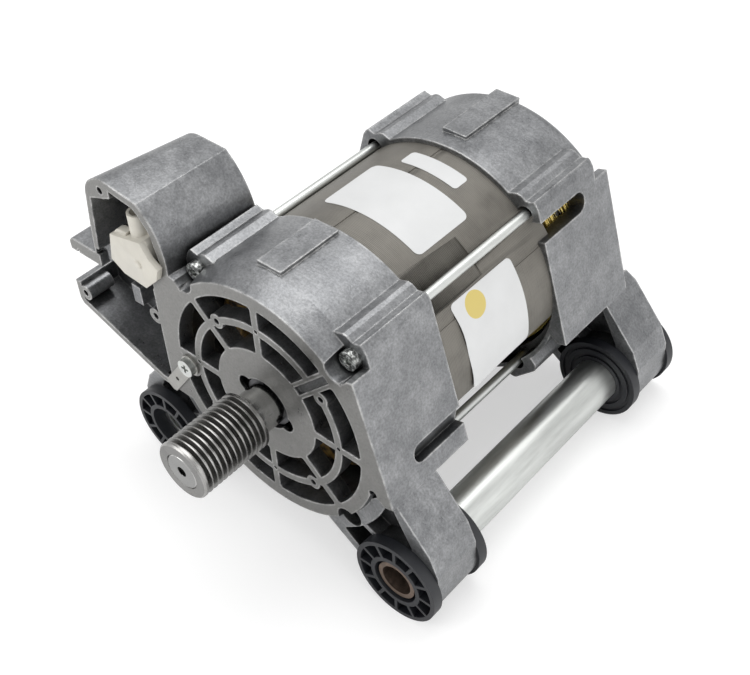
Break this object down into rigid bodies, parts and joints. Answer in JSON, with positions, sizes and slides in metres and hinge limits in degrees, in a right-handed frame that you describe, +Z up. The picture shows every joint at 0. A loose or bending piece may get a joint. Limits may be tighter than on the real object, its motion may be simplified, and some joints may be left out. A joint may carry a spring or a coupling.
{
  "type": "washing machine motor",
  "caption": "Three-phase washing machine drive motor with a ribbed belt pulley, cast end shields, two pivot tubes and an open terminal box.",
  "frame": {"origin": "centre of the shaft's drive end, in the plane of the pulley's front face", "axes": "+Y along the shaft from the drive end to the rear, +X to the right seen from the drive end, +Z up"},
  "size_m": [0.1859, 0.2017, 0.1362],
  "materials": {
    "cast": "die cast, dull",
    "laminations": "lacquered laminations",
    "winding": "enamelled copper wire, varnished",
    "cage": "cast",
    "turned": "turned",
    "pulley": "turned",
    "race": "ground",
    "spring": "pressed",
    "seal": "moulded",
    "zinc": "zinc plated",
    "sleeve": "sintered, oiled",
    "bush": "moulded",
    "label": "blank film label",
    "nylon": "moulded nylon",
    "terminals": "stamped"
  },
  "bodies": {
    "motor": {"front_end_shield": "cast", "rear_end_shield": "cast", "stator_core": "laminations", "stator_winding": "winding", "wave_washer": "spring", "tie_rods": "zinc", "right_spacer_tube": "zinc", "right_pivot_tube": "sleeve", "left_spacer_tube": "zinc", "upper_label": "label", "small_label": "label", "side_label": "label", "earth_tab": "zinc", "earth_screw": "zinc", "connector_housing": "nylon", "connector_terminals": "terminals", "front_right_bush_fore": "bush", "front_right_bush_aft": "bush", "front_left_bush_fore": "bush", "front_left_bush_aft": "bush", "front_bearing_outer_race": "race", "front_bearing_seals": "seal", "rear_right_bush_fore": "bush", "rear_right_bush_aft": "bush", "rear_left_bush_fore": "bush", "rear_left_bush_aft": "bush", "rear_bearing_outer_race": "race", "rear_bearing_seals": "seal"},
    "rotor": {"shaft": "turned", "rotor_core": "laminations", "rotor_cage": "cage", "drive_pulley": "pulley", "shaft_circlip": "spring", "front_bearing_inner_race": "race", "rear_bearing_inner_race": "race"},
    "front_ball_set": {"front_bearing_balls": "race", "front_bearing_cage": "spring"},
    "rear_ball_set": {"rear_bearing_balls": "race", "rear_bearing_cage": "spring"}
  },
  "joints": [
    {"name": "rotor_spin", "type": "hinge", "parent": "motor", "child": "rotor", "pos_m": [0, 0.115, 0], "axis": [0, 1, 0], "continuous": true},
    {"name": "front_balls_roll", "type": "hinge", "parent": "motor", "child": "front_ball_set", "pos_m": [0, 0.0502, 0], "axis": [0, 1, 0], "continuous": true},
    {"name": "rear_balls_roll", "type": "hinge", "parent": "motor", "child": "rear_ball_set", "pos_m": [0, 0.1798, 0], "axis": [0, 1, 0], "continuous": true}
  ],
  "couplings": [
    {"joint": "front_balls_roll", "follows": "rotor_spin", "ratio": 0.382},
    {"joint": "rear_balls_roll", "follows": "rotor_spin", "ratio": 0.382}
  ]
}
